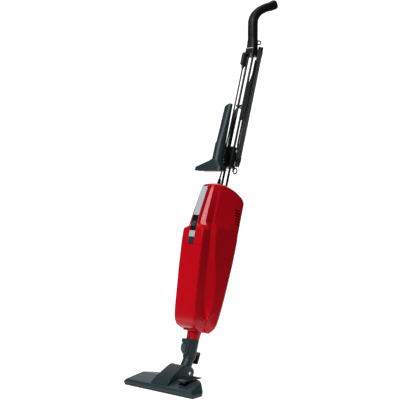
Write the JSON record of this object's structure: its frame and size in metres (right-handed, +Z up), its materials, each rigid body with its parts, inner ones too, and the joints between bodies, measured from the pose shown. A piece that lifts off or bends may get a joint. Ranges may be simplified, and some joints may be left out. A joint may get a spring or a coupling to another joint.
{
  "type": "upright stick vacuum cleaner",
  "caption": "Slim red upright vacuum cleaner with a twin-rod handle, wound mains cord, clipped-on nozzles and a hinged floorhead.",
  "frame": {"origin": "centre of the sole's front land, on the floor", "axes": "+Z up, +Y to the rear, X along the floorhead; the handle leans back towards +Y"},
  "size_m": [0.256, 0.5514, 1.138],
  "materials": {
    "red_gloss": "high gloss",
    "silver_trim": "satin silver lacquer",
    "slate_plastic": "fine satin",
    "black_plastic": "fine satin",
    "soft_black": "matte",
    "steel": "bright",
    "black_steel": "semi-gloss black",
    "pale_plastic": "satin",
    "filter_paper": "soft matte",
    "lint_felt": "brushed felt",
    "bristle": "matte hair"
  },
  "bodies": {
    "main_body": {"upper_housing": "red_gloss", "lower_housing": "red_gloss", "inlet_spigot": "red_gloss", "lid_hinge_pin": "steel", "lid_seal": "soft_black", "upper_strip": "silver_trim", "lower_strip": "silver_trim", "switch_bezel": "black_plastic", "motor_mount": "soft_black", "motor_casing": "black_plastic", "motor_body": "steel", "motor_filter": "filter_paper", "exhaust_filter": "filter_paper", "dust_bag": "filter_paper", "bag_collar": "pale_plastic", "rod_socket": "black_plastic", "strain_relief": "soft_black", "rod_left": "black_steel", "rod_right": "black_steel", "rod_bracket": "black_plastic", "handle_collar": "black_plastic", "grip_tab": "pale_plastic", "grip": "black_plastic", "lower_cord_hook": "black_plastic", "accessory_clip": "black_plastic", "upholstery_nozzle": "slate_plastic", "lint_strip_front": "lint_felt", "lint_strip_rear": "lint_felt", "crevice_nozzle": "slate_plastic", "cord_lead": "soft_black", "cord_hank": "soft_black", "cord_tail": "soft_black", "plug": "soft_black", "plug_pin_front": "steel", "plug_pin_rear": "steel", "connector_tube": "slate_plastic", "park_hook": "black_plastic"},
    "lid": {"dust_lid": "red_gloss"},
    "lid_button": {"release_button": "slate_plastic"},
    "power_slider": {"switch_slider": "slate_plastic"},
    "fan": {"motor_fan": "steel"},
    "cord_hook": {"upper_cord_hook": "black_plastic"},
    "neck_lock": {"lock_button": "slate_plastic"},
    "neck_elbow": {"elbow": "slate_plastic"},
    "floor_tool": {"floorhead_cover": "slate_plastic", "duct_hump": "slate_plastic", "neck_pin_left": "steel", "neck_pin_right": "steel", "soleplate": "black_plastic", "roller_axle_left": "steel", "roller_axle_right": "steel", "pedal_pin": "steel"},
    "bristles": {"bristle_frame": "bristle"},
    "foot_pedal": {"pedal": "black_plastic"},
    "left_roller": {"roller_left": "soft_black"},
    "right_roller": {"roller_right": "soft_black"}
  },
  "joints": [
    {"name": "lid_hinge", "type": "hinge", "parent": "main_body", "child": "lid", "pos_m": [0, 0.12543, 0.15172], "axis": [1, 0, 0], "range_deg": [0, 60]},
    {"name": "lid_button_press", "type": "slide", "parent": "main_body", "child": "lid_button", "axis": [0, 0.9494, -0.314], "range_m": [0, 0.002], "stiffness_N_per_m": 300, "springref_m": -0.001},
    {"name": "power_slider_slide", "type": "slide", "parent": "main_body", "child": "power_slider", "axis": [0, 0.3423, 0.9396], "range_m": [-0.008, 0.0125]},
    {"name": "fan_spin", "type": "hinge", "parent": "main_body", "child": "fan", "pos_m": [0, 0.22611, 0.3988], "axis": [0, 0.314, 0.9494], "continuous": true},
    {"name": "cord_hook_turn", "type": "hinge", "parent": "main_body", "child": "cord_hook", "pos_m": [0.00505, 0.45354, 0.95607], "axis": [-0.766, -0.6103, 0.2018], "range_deg": [0, 90]},
    {"name": "neck_lock_press", "type": "slide", "parent": "main_body", "child": "neck_lock", "axis": [0, 0.9494, -0.314], "range_m": [0, 0.0018], "stiffness_N_per_m": 300, "springref_m": -0.001},
    {"name": "neck_swivel", "type": "hinge", "parent": "main_body", "child": "neck_elbow", "pos_m": [0, 0.12726, 0.07444], "axis": [0, 0.314, 0.9494], "range_deg": [-90, 90]},
    {"name": "neck_tilt", "type": "hinge", "parent": "neck_elbow", "child": "floor_tool", "pos_m": [0, 0.1, 0.035], "axis": [1, 0, 0], "range_deg": [-10, 60]},
    {"name": "pedal_rock", "type": "hinge", "parent": "floor_tool", "child": "foot_pedal", "pos_m": [0.067, 0.048, 0.0245], "axis": [1, 0, 0], "range_deg": [-4, 0]},
    {"name": "bristle_drop", "type": "slide", "parent": "floor_tool", "child": "bristles", "axis": [0, 0, -1], "range_m": [0, 0.0035]},
    {"name": "left_roller_spin", "type": "hinge", "parent": "floor_tool", "child": "left_roller", "pos_m": [-0.05, 0.064, 0.009], "axis": [1, 0, 0], "continuous": true},
    {"name": "right_roller_spin", "type": "hinge", "parent": "floor_tool", "child": "right_roller", "pos_m": [0.05, 0.064, 0.009], "axis": [1, 0, 0], "continuous": true}
  ],
  "couplings": [
    {"joint": "bristle_drop", "follows": "pedal_rock", "m_per_rad": -0.05}
  ]
}
